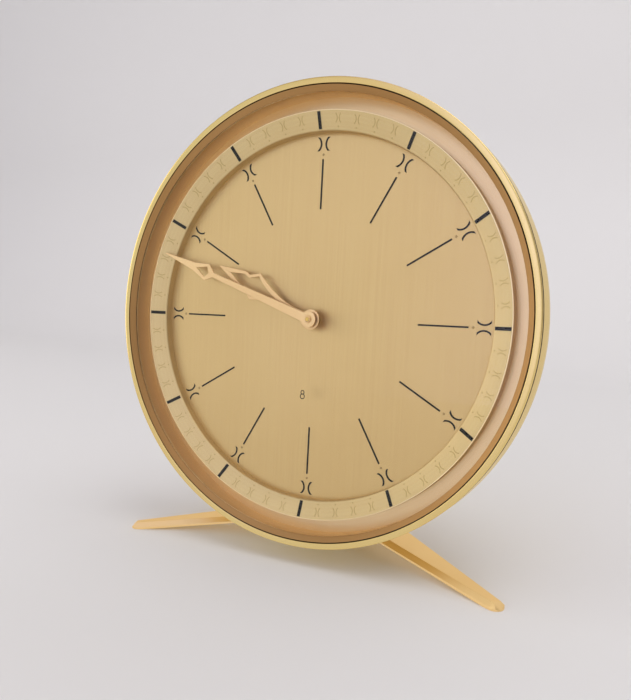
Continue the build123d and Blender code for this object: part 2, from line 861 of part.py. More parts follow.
lever_high = escape_level + wheel_thickness
lever = Pos(*lever_at) * Rot(0, 0, lever_direction) * slab(lever_face(), escape_level, lever_high)
lever += pivoted_arbor(lever_at, pivot_radius + running_gap)
roller_high = escape_level - level_gap - impulse_radius
cock_back = -rear_plate_back - back_plate_thickness
hairspring_low = -rear_plate_back + 2 * end_shake
hairspring_high = hairspring_low + hairspring_height
collet_radius = hairspring_inner - hairspring_thickness / 2 - running_gap
balance_face = Circle(balance_radius) - Circle(balance_radius - balance_rim)
balance_face += Rectangle(2 * balance_radius - balance_rim, balance_arm) + Circle(balance_boss)
balance_wheel = Pos(*balance_at) * slab(balance_face, balance_level, balance_level + wheel_thickness)
balance_wheel += rod(balance_at, arbor_radius, -rear_plate_back + end_shake, -plate_back - end_shake)
balance_wheel += rod(balance_at, pivot_radius, cock_back + end_shake, -plate_front - end_shake)
balance_wheel += rod(balance_at, collet_radius, hairspring_low, hairspring_high)
balance_wheel += rod(balance_at, roller_radius, roller_high - wheel_thickness, roller_high)
impulse_at = step_from(balance_at, balance_offset - fork_length, lever_direction + 180)
balance_wheel += rod(impulse_at, impulse_radius, roller_high, roller_high + impulse_radius)


def spiral_band(inner, pitch, turns, thickness):
    """Flat spiral of half circles about two centres, each half turn wider by half the pitch."""
    outward = []
    inward = []
    for k in range(2 * turns):
        middle = 0 if k % 2 == 0 else pitch / 2
        radius = inner + k * pitch / 2
        start = 0 if k % 2 == 0 else 180
        outward.append(CenterArc((middle, 0), radius + thickness / 2, start, 180))
        inward.append(CenterArc((middle, 0), radius - thickness / 2, start, 180))
    end_x = inner + turns * pitch
    caps = [
        Line((inner - thickness / 2, 0), (inner + thickness / 2, 0)),
        Line((end_x - thickness / 2, 0), (end_x + thickness / 2, 0)),
    ]
    return make_face(outward + inward + caps)


hairspring_face = spiral_band(hairspring_inner, hairspring_pitch, hairspring_turns, hairspring_thickness)
hairspring = Pos(*balance_at) * slab(hairspring_face, hairspring_low, hairspring_high)
stud_reach = hairspring_inner + hairspring_turns * hairspring_pitch + hairspring_thickness / 2
spring_stud_at = step_from(balance_at, stud_reach + hairspring_stud_radius, 0)
spring_stud = rod(spring_stud_at, hairspring_stud_radius, -rear_plate_back, hairspring_high)
cock_foot = step_from(balance_at, cock_length, lever_direction + 180)
cock_face = SlotCenterToCenter(cock_length, cock_width)
cock_place = Pos((balance_at[0] + cock_foot[0]) / 2, (balance_at[1] + cock_foot[1]) / 2)
arm_reach = stud_reach + 2 * hairspring_stud_radius
arm_face = Pos(arm_reach / 2, 0) * Rectangle(arm_reach, cock_arm_width)
balance_cock = cock_place * Rot(0, 0, lever_direction) * slab(cock_face, cock_back, -rear_plate_back)
balance_cock += Pos(*balance_at) * slab(arm_face, cock_back, -rear_plate_back)
balance_cock += rod(balance_at, cock_boss_radius, cock_back - cock_boss_height, cock_back)
balance_cock -= rod(
    balance_at, pivot_radius + running_gap, cock_back - cock_boss_height - overcut, -rear_plate_back + overcut
)
cock_hole = rod(cock_foot, screw_radius + running_gap, cock_back - overcut, -rear_plate_front + overcut)
balance_cock -= cock_hole
back_plate -= cock_hole
cock_screw = screw(cock_foot, -rear_plate_front - end_shake, cock_back, (cock_back - screw_head, cock_back))
regulator_face = Circle(regulator_radius)
regulator_face += Pos(regulator_reach / 2, 0) * Rectangle(regulator_reach, regulator_width)
regulator_face -= Circle(cock_boss_radius + running_gap)
regulator_high = cock_back - running_gap
regulator = Pos(*balance_at) * slab(regulator_face, regulator_high - regulator_thickness, regulator_high)

# Barrel, mainspring and winding work
barrel_bore = barrel_arbor_radius + running_gap
drum_radius = root_radius(barrel_teeth, barrel_module) - barrel_step
barrel_face = toothed(barrel_teeth, barrel_module, barrel_phase, wheel_tooth) - Circle(barrel_bore)
barrel = Pos(*barrel_at) * slab(barrel_face, barrel_back, drum_back)
barrel += ring(drum_radius, drum_radius - barrel_wall, drum_back, lid_back, barrel_at)
barrel_lid = ring(drum_radius, barrel_bore, lid_back, lid_front, barrel_at)
spring_inner = barrel_core_radius + running_gap + mainspring_thickness / 2
spring_outer = drum_radius - barrel_wall - mainspring_thickness / 2
mainspring_pitch = (spring_outer - spring_inner) / mainspring_turns
spring_face = spiral_band(spring_inner, mainspring_pitch, mainspring_turns, mainspring_thickness)
mainspring = Pos(*barrel_at) * slab(spring_face, drum_back + end_shake, lid_back - end_shake)
key_front = -cover_back - knob_gap
key_hub_back = key_front - key_height / 2
barrel_arbor = rod(barrel_at, barrel_arbor_radius, key_hub_back, -plate_front - end_shake)
barrel_arbor += rod(barrel_at, barrel_core_radius, drum_back + end_shake, lid_back - end_shake)


def ratchet_face():
    step = 360 / ratchet_teeth
    points = []
    for k in range(ratchet_teeth):
        points.append(polar(ratchet_radius, k * step))
        points.append(polar(ratchet_radius - ratchet_tooth, (k + ratchet_share) * step))
    return make_face(Polyline(*points, close=True)) - Circle(barrel_arbor_radius)


ratchet_back = ratchet_front - 2 * wheel_thickness
ratchet_wheel = Pos(*barrel_at) * slab(ratchet_face(), ratchet_back, ratchet_front)
click_reach = ratchet_radius + click_gap
click_nose = (
    (ratchet_radius - ratchet_tooth / 2, -click_clear),
    (click_reach, click_clear),
    (click_reach, -click_width),
    (ratchet_radius + ratchet_tooth / 2, -click_width),
)
click_face = make_face(Polyline(*click_nose, close=True))
click_face += Pos(click_reach - click_leaf / 2, -click_length / 2) * Rectangle(click_leaf, click_length)
click_face += Pos(click_reach, -click_length) * Circle(screw_head_radius)
click_turn = -360 / ratchet_teeth
click_foot = step_from(
    barrel_at, hypot(click_reach, click_length), click_turn - degrees(atan2(click_length, click_reach))
)
click = Pos(*barrel_at) * Rot(0, 0, click_turn) * slab(click_face, ratchet_back, ratchet_front)
click += rod(click_foot, screw_head_radius, ratchet_front, -rear_plate_back)
click_hole = rod(click_foot, screw_radius + running_gap, ratchet_back - overcut, -rear_plate_front + overcut)
click -= click_hole
back_plate -= click_hole
click_head = (ratchet_back - screw_head, ratchet_back)
click_screw = screw(click_foot, -rear_plate_front - end_shake, ratchet_back, click_head)

# Back cover, its screws, the winding key and the setting knob
back_cover = rod(centre, cover_radius, -cover_back, -back_depth)
cover_screws = []
for place in cover_screw_places:
    back_cover -= rod(place, screw_radius + running_gap, -cover_back - overcut, -back_depth + overcut)
    cover_screws.append(
        screw(place, -cover_back, -back_depth + case_wall, (-cover_back - screw_head, -cover_back))
    )
for place, radius in ((barrel_at, barrel_arbor_radius), (setting_at, setting_arbor_radius)):
    back_cover -= rod(place, radius + free_gap, -cover_back - overcut, -back_depth + overcut)

winding_key = rod(barrel_at, key_hub_radius, key_hub_back, key_front)
wing = Pos(0, 0, key_hub_back - key_height / 2 + key_sink) * Box(key_width, key_thickness, key_height)
wing = fillet(wing.edges().filter_by(Axis.Y), key_round)
winding_key += Pos(*barrel_at) * Rot(0, 0, 90) * wing
winding_key -= rod(barrel_at, barrel_arbor_radius + running_gap / 2, key_hub_back, key_front + overcut)
setting_knob = rod(setting_at, knob_radius, key_front - knob_height, key_front)
setting_knob = fillet(setting_knob.edges().group_by(Axis.Z)[0], knob_round)
for k in range(knob_flutes):
    flute = step_from(setting_at, knob_radius + flute_offset, k * 360 / knob_flutes)
    setting_knob -= rod(flute, flute_radius, key_front - knob_height - overcut, key_front + overcut)
knob_bore = setting_arbor_radius + running_gap / 2
setting_knob -= rod(setting_at, knob_bore, key_front - knob_height / 2, key_front + overcut)

# Sub-parts in the clock frame, then the ones already standing in the row frame
clock_parts = {
    "bezel": bezel,
    "bezel_line": bezel_line,
    "glass": glass,
    "well_ring": well_ring,
    "dial_plate": dial_plate,
    "minute_ring": minute_ring,
    "hour_bars": Compound(children=hour_bars),
    "hour_lines": Compound(children=hour_lines),
    "hour_arcs": Compound(children=hour_arcs),
    "minute_hand": minute_hand,
    "hour_hand": hour_hand,
    "hand_nut": hand_nut,
    "cannon_pinion": cannon_pinion,
    "hour_wheel": hour_wheel,
    "minute_wheel": minute_wheel,
    "minute_wheel_stud": minute_stud,
    "setting_arbor": setting_arbor,
    "setting_knob": setting_knob,
    "front_plate": front_plate,
    "back_plate": back_plate,
    "plate_pillars": Compound(children=pillars),
    "pillar_screws": Compound(children=pillar_screws),
    "dial_feet": Compound(children=dial_feet),
    "dial_foot_nuts": Compound(children=foot_nuts),
    "barrel": barrel,
    "barrel_lid": barrel_lid,
    "mainspring": mainspring,
    "barrel_arbor": barrel_arbor,
    "ratchet_wheel": ratchet_wheel,
    "click": click,
    "click_screw": click_screw,
    "intermediate_wheel": intermediate_wheel,
    "centre_wheel": centre_wheel,
    "third_wheel": third_wheel,
    "fourth_wheel": fourth_wheel,
    "escape_wheel": escape_wheel,
    "pallet_lever": lever,
    "balance_wheel": balance_wheel,
    "hairspring": hairspring,
    "hairspring_stud": spring_stud,
    "balance_cock": balance_cock,
    "cock_screw": cock_screw,
    "regulator": regulator,
    "back_cover": back_cover,
    "cover_screws": Compound(children=cover_screws),
    "winding_key": winding_key,
}
row_parts = {
    "case_shell": case_shell,
    "stand_hub": stand_hub,
    "leg_screws": Compound(children=leg_screws),
    "stand_bolt": stand_bolt,
    **legs,
}

for name, shape in clock_parts.items():
    export_step(clock_place * shape, f"parts/{name}.step")
for name, shape in row_parts.items():
    export_step(shape, f"parts/{name}.step")
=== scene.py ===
# %% [markdown]
# # A round brass table clock
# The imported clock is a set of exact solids. This lesson dresses them: it loads them as a fixed
# frame, sets the camera and the light, makes the finishes, and then adds the softened edges and
# the small marks that the solids leave out. Nothing that the frame holds is moved.

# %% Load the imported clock
import json
import math

import bmesh
import bpy
from mathutils import Matrix, Vector


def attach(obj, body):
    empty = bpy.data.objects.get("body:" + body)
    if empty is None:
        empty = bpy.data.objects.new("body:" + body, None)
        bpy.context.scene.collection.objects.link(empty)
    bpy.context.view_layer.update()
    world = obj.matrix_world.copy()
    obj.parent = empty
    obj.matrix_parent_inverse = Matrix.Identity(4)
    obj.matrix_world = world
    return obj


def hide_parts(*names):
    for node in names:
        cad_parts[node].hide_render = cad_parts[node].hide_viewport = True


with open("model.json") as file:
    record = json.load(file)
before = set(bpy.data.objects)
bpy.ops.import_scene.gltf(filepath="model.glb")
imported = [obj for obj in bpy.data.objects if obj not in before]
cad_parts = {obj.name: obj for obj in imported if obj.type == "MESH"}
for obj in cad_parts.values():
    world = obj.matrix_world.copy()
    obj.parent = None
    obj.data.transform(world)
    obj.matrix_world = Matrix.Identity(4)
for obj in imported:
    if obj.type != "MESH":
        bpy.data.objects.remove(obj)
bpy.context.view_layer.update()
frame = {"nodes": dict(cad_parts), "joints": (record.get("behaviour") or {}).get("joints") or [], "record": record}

scene = bpy.context.scene
nodes = frame["nodes"]

# %% [markdown]
# The clock leans back on its stand, so its dial has a frame of its own: x to the right, y up the
# dial and z towards the reader, in millimetres from the middle of the dial face. One matrix takes
# that frame to the room. Its axis is the joint of the minute hand, and its zero level is the front of
# the dial plate. `extent` reads a solid's size in that frame, so that the pieces made below fit the
# solids without their sizes being typed again.

# %% The dial's own frame
MM = 0.001
hand_joint = next(j for j in frame["joints"] if j["name"] == "minute_hand_turn")
hand_spot = Vector(hand_joint["pos_m"])
dial_out = -Vector(hand_joint["axis"]).normalized()
dial_right = Vector((1.0, 0.0, 0.0))
dial_up = dial_out.cross(dial_right)
dial_level = max((v.co - hand_spot).dot(dial_out) for v in nodes["dial_plate"].data.vertices)
dial_middle = hand_spot + dial_out * round(dial_level / MM, 3) * MM
dial_turn = Matrix((dial_right, dial_up, dial_out)).transposed().to_4x4()
CLOCK = Matrix.Translation(dial_middle) @ dial_turn @ Matrix.Scale(MM, 4)
TO_DIAL = CLOCK.inverted()


def extent(node):
    """Least and greatest radius, then least and greatest height, of a solid in the dial's frame, in mm."""
    places = [TO_DIAL @ v.co for v in nodes[node].data.vertices]
    radii = [p.xy.length for p in places]
    heights = [p.z for p in places]
    return [round(v, 3) for v in (min(radii), max(radii), min(heights), max(heights))]


print("dial middle", [round(c, 4) for c in dial_middle], "dial plate", extent("dial_plate"))

# %% [markdown]
# The picture is taken from the right, a little above the middle of the dial and turned down. The
# lens is 36 mm on a 36 mm frame. A camera could be pointed at the clock by hand. This one was fitted to
# the rims and marks of the dial beforehand, so that they fall where the photograph has them. The shift
# moves the picture without turning the camera, so the perspective stays as it is.

# %% Camera
CAMERA_FROM_DIAL = (0.131657, -0.247967, 0.018695)
CAMERA_TURN = (80.0350, -0.7760, 27.2581)
camera_data = bpy.data.cameras.new("studio_camera")
camera_data.lens = 36.0
camera_data.sensor_width = 36.0
camera_data.shift_x = -0.0130
camera_data.shift_y = 0.0650
camera_data.clip_start = 0.01
camera = bpy.data.objects.new("studio_camera", camera_data)
camera.location = dial_middle + Vector(CAMERA_FROM_DIAL)
camera.rotation_euler = [math.radians(a) for a in CAMERA_TURN]
scene.collection.objects.link(camera)
scene.camera = camera
scene.view_settings.view_transform = "Standard"
print("camera at", [round(c, 3) for c in camera.location])

# %% [markdown]
# Shader nodes are easier to read when the lines that join them are short. `Wires` wraps a node
# tree: `add` makes a node with its settings, `group` places a shader group, `join` links two sockets
# and `math` works out one step of arithmetic.


# %% Wires for node trees
class Wires:
    def __init__(self, tree):
        self.tree = tree

    def add(self, kind, values=None, **settings):
        node = self.tree.nodes.new(kind)
        for name, value in settings.items():
            setattr(node, name, value)
        for key, value in (values or {}).items():
            node.inputs[key].default_value = value
        return node

    def group(self, name):
        return self.add("ShaderNodeGroup", node_tree=bpy.data.node_groups[name])

    def join(self, source, target):
        self.tree.links.new(source, target)

    def math(self, operation, a, b):
        node = self.add("ShaderNodeMath", operation=operation)
        for slot, value in zip(node.inputs, (a, b)):
            if isinstance(value, (int, float)):
                slot.default_value = value
            else:
                self.join(value, slot)
        return node.outputs[0]


print("node trees can be wired")

# %% [markdown]
# Every finish starts from the same few lines, so they are one helper. Colours are written as a screen
# shows them, because that is how they are read off a picture, and `linear` turns them into amounts of
# light.


# %% New materials and their colours
def new_material(name):
    """A node material with its wires, its main shader and its output socket."""
    material = bpy.data.materials.new(name)
    material.use_nodes = True
    made = material.node_tree.nodes
    surface = made["Material Output"].inputs["Surface"]
    return material, Wires(material.node_tree), made["Principled BSDF"], surface


def linear(red, green, blue):
    """A colour as seen on screen, 0 to 255, in the light values that shaders use."""

    def one(c):
        c = c / 255
        return c / 12.92 if c <= 0.04045 else ((c + 0.055) / 1.055) ** 2.4

    return (one(red), one(green), one(blue), 1.0)


print("helpers ready, mid gold is", [round(c, 3) for c in linear(200, 172, 118)[:3]])

# %% [markdown]
# The studio is a pale table that bends up into a wall, so that no horizon line shows. Two planes would
# leave a dark corner. A photographer hangs a roll of paper for this, so the mesh is one sheet swept
# along the same bend.


# %% Table and wall
def sweep_sheet(name, depth_line, half_width):
    bm = bmesh.new()
    rows = [[bm.verts.new((x, y, z)) for x in (-half_width, half_width)] for y, z in depth_line]
    for a, b in zip(rows, rows[1:]):
        bm.faces.new((a[0], a[1], b[1], b[0]))
    mesh = bpy.data.meshes.new(name)
    bm.to_mesh(mesh)
    bm.free()
    for face in mesh.polygons:
        face.use_smooth = True
    obj = bpy.data.objects.new(name, mesh)
    scene.collection.objects.link(obj)
    return obj


BEND, BEND_STEPS = 0.35, 30
TABLE_FRONT, WALL_Y, WALL_TOP, HALF_WIDTH = -6.0, 0.85, 2.2, 6.0
bend_line = [
    (WALL_Y - BEND + BEND * math.sin(a), BEND - BEND * math.cos(a))
    for a in [math.radians(90 * k / BEND_STEPS) for k in range(BEND_STEPS + 1)]
]
backdrop = sweep_sheet("backdrop", [(TABLE_FRONT, 0.0), *bend_line, (WALL_Y, WALL_TOP)], HALF_WIDTH)
print("table and wall in", len(backdrop.data.polygons), "strips")

# %% [markdown]
# The paper is a dull white with a very soft mottle, which keeps it from looking like a void. In the
# metal's reflections it is a little brighter, as a wide lit studio floor would be.

# %% Paper
REFLECTED_GLOW = 0.75
paper, wires, shader, surface = new_material("paper_white")
shader.inputs["Roughness"].default_value = 0.75
mottle = wires.add("ShaderNodeTexNoise", {"Scale": 3.0, "Detail": 2.0})
tone = wires.add("ShaderNodeValToRGB")
tone.color_ramp.elements[0].color = linear(218, 217, 217)
tone.color_ramp.elements[1].color = linear(226, 225, 225)
wires.join(mottle.outputs["Fac"], tone.inputs["Fac"])
wires.join(tone.outputs["Color"], shader.inputs["Base Color"])
glow = wires.add("ShaderNodeEmission", {"Color": (1.0, 0.965, 0.90, 1.0)})
rays = wires.add("ShaderNodeLightPath")
seen_by = wires.add("ShaderNodeMixShader")
wires.join(wires.math("MULTIPLY", rays.outputs["Is Glossy Ray"], REFLECTED_GLOW), seen_by.inputs[0])
wires.join(shader.outputs[0], seen_by.inputs[1])
wires.join(glow.outputs[0], seen_by.inputs[2])
wires.join(seen_by.outputs[0], surface)
backdrop.data.materials.append(paper)
print("finished", backdrop.name, "with", paper.name)

# %% [markdown]
# Polished brass is mostly a picture of the room, so the room is worth a little work. A picture of a real
# room could be wrapped round the clock, but soft brass needs only a ramp of colours from left to right:
# pale on the left, brightest and a little blue near the middle, greyer on the right and dark at its far
# end. Overhead the room is dimmer.

# %% Room
world = bpy.data.worlds.new("pale_room")
scene.world = world
world.use_nodes = True
room = Wires(world.node_tree)
sky = world.node_tree.nodes["Background"]
direction = room.add("ShaderNodeTexCoord")
parts = room.add("ShaderNodeSeparateXYZ")
room.join(direction.outputs["Generated"], parts.inputs[0])
rightness = room.add("ShaderNodeMapRange", {"From Min": -1.0, "From Max": 1.0})
room.join(parts.outputs["X"], rightness.inputs["Value"])
room_tone = room.add("ShaderNodeValToRGB")
room_stops = {
    0.0: (0.9, 0.9, 0.86),
    0.2: (0.92, 0.91, 0.83),
    0.3: (0.97, 0.94, 0.88),
    0.41: (1.46, 1.44, 1.85),
    0.56: (0.95, 0.9, 0.88),
    0.8: (0.7, 0.66, 0.62),
    0.96: (0.1, 0.08, 0.06),
}
for spot, colour in room_stops.items():
    stop = room_tone.color_ramp.elements.new(spot)
    stop.color = (*colour, 1.0)
room_tone.color_ramp.elements.remove(room_tone.color_ramp.elements[-1])
room_tone.color_ramp.elements.remove(room_tone.color_ramp.elements[0])
room.join(rightness.outputs[0], room_tone.inputs["Fac"])
room.join(room_tone.outputs["Color"], sky.inputs["Color"])
dimmer_above = {"From Min": 0.38, "From Max": 0.7, "To Min": 1.0, "To Max": 0.72}
upness = room.add("ShaderNodeMapRange", dimmer_above)
room.join(parts.outputs["Z"], upness.inputs["Value"])
room.join(upness.outputs[0], sky.inputs["Strength"])
print("room with", len(room_tone.color_ramp.elements), "tones from left to right")

# %% [markdown]
# One wide lamp, low on the left, gives the hands their shadow. It stands far enough to the side that the
# glass doesn't show it. A wider one overhead fills the table. Wide lamps are used because small ones
# would draw hard shadows.


# %% Lamps
def soft_lamp(name, place, aim, side, power, colour):
    data = bpy.data.lights.new(name, "AREA")
    data.shape = "RECTANGLE"
    data.size = data.size_y = side
    data.energy = power
    data.color = colour
    lamp = bpy.data.objects.new(name, data)
    lamp.location = place
    lamp.rotation_euler = (Vector(aim) - Vector(place)).to_track_quat("-Z", "Y").to_euler()
    scene.collection.objects.link(lamp)


soft_lamp(
    "window_lamp",
    place=(-1.15, -0.42, 0.30),
    aim=(0.0, -0.05, 0.09),
    side=0.8,
    power=3.0,
    colour=(1.0, 0.96, 0.90),
)
soft_lamp(
    "ceiling_lamp",
    place=(0.7, -0.2, 1.5),
    aim=(0.15, -0.05, 0.0),
    side=1.2,
    power=9.0,
    colour=(1.0, 0.99, 0.97),
)

# %% [markdown]
# ## Finishes
# Four effects come back in most of the metals, so each is a node group that any finish can use. This
# helper makes an empty group with named inputs and outputs.


# %% Empty shader group
def shader_group(name, inputs, outputs):
    group = bpy.data.node_groups.new(name, "ShaderNodeTree")
    for label, kind, value in inputs:
        socket = group.interface.new_socket(label, in_out="INPUT", socket_type=kind)
        socket.default_value = value
    for label in outputs:
        group.interface.new_socket(label, in_out="OUTPUT", socket_type="NodeSocketFloat")
    wires = Wires(group)
    return wires, wires.add("NodeGroupInput"), wires.add("NodeGroupOutput")


def spread_tone(wires, value, contrast):
    """Pulls a value that wanders about one half towards it or away from it."""
    return wires.math("ADD", wires.math("MULTIPLY", wires.math("SUBTRACT", value, 0.5), contrast), 0.5)


print("shader groups can be made")

# %% [markdown]
# `brushed_lines` are the fine straight lines that a wire brush or abrasive belt leaves on a plate, all
# one way. Noise that is stretched along the stroke gives lines of uneven depth and length, as grit does.

# %% Brushed lines
wires, given, result = shader_group(
    "brushed_lines",
    [("Stretch", "NodeSocketVector", (1.0, 1.0, 1.0)), ("Contrast", "NodeSocketFloat", 1.0)],
    ["Tone", "Height"],
)
place = wires.add("ShaderNodeTexCoord")
stretched = wires.add("ShaderNodeVectorMath", operation="MULTIPLY")
lines = wires.add("ShaderNodeTexNoise", {"Scale": 1.0, "Detail": 4.0, "Roughness": 0.65})
wires.join(place.outputs["Object"], stretched.inputs[0])
wires.join(given.outputs["Stretch"], stretched.inputs[1])
wires.join(stretched.outputs[0], lines.inputs["Vector"])
wires.join(spread_tone(wires, lines.outputs["Fac"], given.outputs["Contrast"]), result.inputs["Tone"])
wires.join(lines.outputs["Fac"], result.inputs["Height"])
print("group", wires.tree.name, "with", len(wires.tree.nodes), "nodes")

# %% [markdown]
# `turned_lines` are the fine circles that a tool leaves on a turning piece. The distance from the dial's
# axis drives a noise of one dimension, so each circle has one tone all the way round.

# %% Turned lines
wires, given, result = shader_group(
    "turned_lines",
    [("Fineness", "NodeSocketFloat", 900.0), ("Contrast", "NodeSocketFloat", 1.0)],
    ["Tone", "Height"],
)
place = wires.add("ShaderNodeTexCoord")
from_middle = wires.add("ShaderNodeVectorMath", operation="SUBTRACT")
from_middle.inputs[1].default_value = dial_middle
wires.join(place.outputs["Object"], from_middle.inputs[0])
off_axis = wires.add("ShaderNodeVectorMath", operation="CROSS_PRODUCT")
off_axis.inputs[1].default_value = dial_out
wires.join(from_middle.outputs[0], off_axis.inputs[0])
radius = wires.add("ShaderNodeVectorMath", operation="LENGTH")
wires.join(off_axis.outputs[0], radius.inputs[0])
circles = wires.add("ShaderNodeTexNoise", {"Scale": 1.0, "Detail": 3.0}, noise_dimensions="1D")
circle_count = wires.math("MULTIPLY", radius.outputs["Value"], given.outputs["Fineness"])
wires.join(circle_count, circles.inputs["W"])
wires.join(spread_tone(wires, circles.outputs["Fac"], given.outputs["Contrast"]), result.inputs["Tone"])
wires.join(circles.outputs["Fac"], result.inputs["Height"])
print("group", wires.tree.name, "with", len(wires.tree.nodes), "nodes")

# %% [markdown]
# `soft_stain` is the uneven warmth of old lacquer on brass. It has no edges, so a soft cloud noise with
# its ends cut off is enough.

# %% Soft stain
wires, given, result = shader_group(
    "soft_stain",
    [("Scale", "NodeSocketFloat", 20.0), ("Amount", "NodeSocketFloat", 0.5)],
    ["Mask"],
)
place = wires.add("ShaderNodeTexCoord")
cloud = wires.add("ShaderNodeTexNoise", {"Detail": 3.0, "Roughness": 0.55})
wires.join(place.outputs["Object"], cloud.inputs["Vector"])
wires.join(given.outputs["Scale"], cloud.inputs["Scale"])
shaped = wires.add("ShaderNodeMapRange", {"From Min": 0.35, "From Max": 0.7})
wires.join(cloud.outputs["Fac"], shaped.inputs["Value"])
wires.join(wires.math("MULTIPLY", shaped.outputs[0], given.outputs["Amount"]), result.inputs["Mask"])
print("group", wires.tree.name, "with", len(wires.tree.nodes), "nodes")

# %% [markdown]
# `wiped_marks` are the faint curved hairlines that dusting leaves on a polish. A wave texture whose
# place is bent by noise draws them, and only its crests are kept for the mask.

# %% Wiped marks
wires, given, result = shader_group(
    "wiped_marks", [("Scale", "NodeSocketFloat", 60.0)], ["Height", "Mask"]
)
place = wires.add("ShaderNodeTexCoord")
swirl = wires.add("ShaderNodeTexNoise", {"Scale": 14.0, "Detail": 2.0})
bent = wires.add("ShaderNodeVectorMath", operation="MULTIPLY_ADD")
bent.inputs[1].default_value = (0.05, 0.05, 0.05)
wires.join(place.outputs["Object"], swirl.inputs["Vector"])
wires.join(swirl.outputs["Color"], bent.inputs[0])
wires.join(place.outputs["Object"], bent.inputs[2])
hair = wires.add("ShaderNodeTexWave", {"Distortion": 9.0, "Detail": 3.0, "Detail Scale": 2.0})
wires.join(bent.outputs[0], hair.inputs["Vector"])
wires.join(given.outputs["Scale"], hair.inputs["Scale"])
crests = wires.add("ShaderNodeMapRange", {"From Min": 0.9, "From Max": 1.0})
wires.join(hair.outputs["Fac"], crests.inputs["Value"])
wires.join(crests.outputs[0], result.inputs["Mask"])
wires.join(hair.outputs["Fac"], result.inputs["Height"])
print("group", wires.tree.name, "with", len(wires.tree.nodes), "nodes")

# %% [markdown]
# All the brass finishes share one recipe: a metal shader whose colour drifts between a clean and a
# warmer tone, whose roughness follows the wear, and whose bump comes from the brush, the lathe or the
# polish. Brushed metal also stretches its highlights across the stroke, so the dial gets a tangent.

# %% Metal recipe
BUMP_STRENGTH, GRAIN_SHARE, WEAR_OF_MARKS = 0.4, 0.35, 0.3


def metal(name, clean, warm, rough, stain=(18.0, 0.6), brushed=None, lathed=None, polish=0.0, aniso=0.0):
    """clean and warm are screen colours and rough is (least, most).

    stain is (scale, amount), and brushed or lathed is (fineness, contrast, bump in metres)."""
    material, wires, shader, _ = new_material(name)
    shader.inputs["Metallic"].default_value = 1.0
    shader.inputs["Specular Tint"].default_value = linear(*[(c + 255) / 2 for c in clean])
    stains = wires.group("soft_stain")
    stains.inputs["Scale"].default_value, stains.inputs["Amount"].default_value = stain
    colour = wires.add("ShaderNodeMix", data_type="RGBA")
    colour.inputs["A"].default_value = linear(*clean)
    colour.inputs["B"].default_value = linear(*warm)
    colour_out = colour.outputs["Result"]
    wires.join(stains.outputs["Mask"], colour.inputs["Factor"])
    gloss = wires.add("ShaderNodeMapRange", {"To Min": rough[0], "To Max": rough[1]})
    bump = wires.add("ShaderNodeBump", {"Strength": BUMP_STRENGTH})
    if brushed or lathed:
        fineness, contrast, depth = brushed or lathed
        grain = wires.group("brushed_lines" if brushed else "turned_lines")
        grain.inputs[0].default_value = fineness
        grain.inputs[1].default_value = contrast
        shade = wires.add("ShaderNodeMix", data_type="RGBA", blend_type="OVERLAY")
        shade.inputs["Factor"].default_value = GRAIN_SHARE
        wires.join(colour_out, shade.inputs["A"])
        wires.join(grain.outputs["Tone"], shade.inputs["B"])
        colour_out = shade.outputs["Result"]
        wires.join(grain.outputs["Tone"], gloss.inputs["Value"])
        wires.join(grain.outputs["Height"], bump.inputs["Height"])
        bump.inputs["Distance"].default_value = depth
    else:
        marks = wires.group("wiped_marks")
        wear = wires.math("MULTIPLY", marks.outputs["Mask"], WEAR_OF_MARKS)
        wires.join(wires.math("ADD", stains.outputs["Mask"], wear), gloss.inputs["Value"])
        wires.join(marks.outputs["Height"], bump.inputs["Height"])
        bump.inputs["Distance"].default_value = polish
    if aniso:
        along = wires.add("ShaderNodeTangent", direction_type="UV_MAP", uv_map="brush")
        shader.inputs["Anisotropic"].default_value = aniso
        wires.join(along.outputs[0], shader.inputs["Tangent"])
    wires.join(colour_out, shader.inputs["Base Color"])
    wires.join(gloss.outputs[0], shader.inputs["Roughness"])
    wires.join(bump.outputs["Normal"], shader.inputs["Normal"])
    return material


POLISH = 0.000002
BRUSH = (2400.0, 30.0, 16.0)
FINE_BRUSH = (60.0, 60.0, 3200.0)
TOOL_LINES = (900.0, 0.25, 0.000004)
print("recipe ready, a polish is", POLISH / MM, "mm deep")
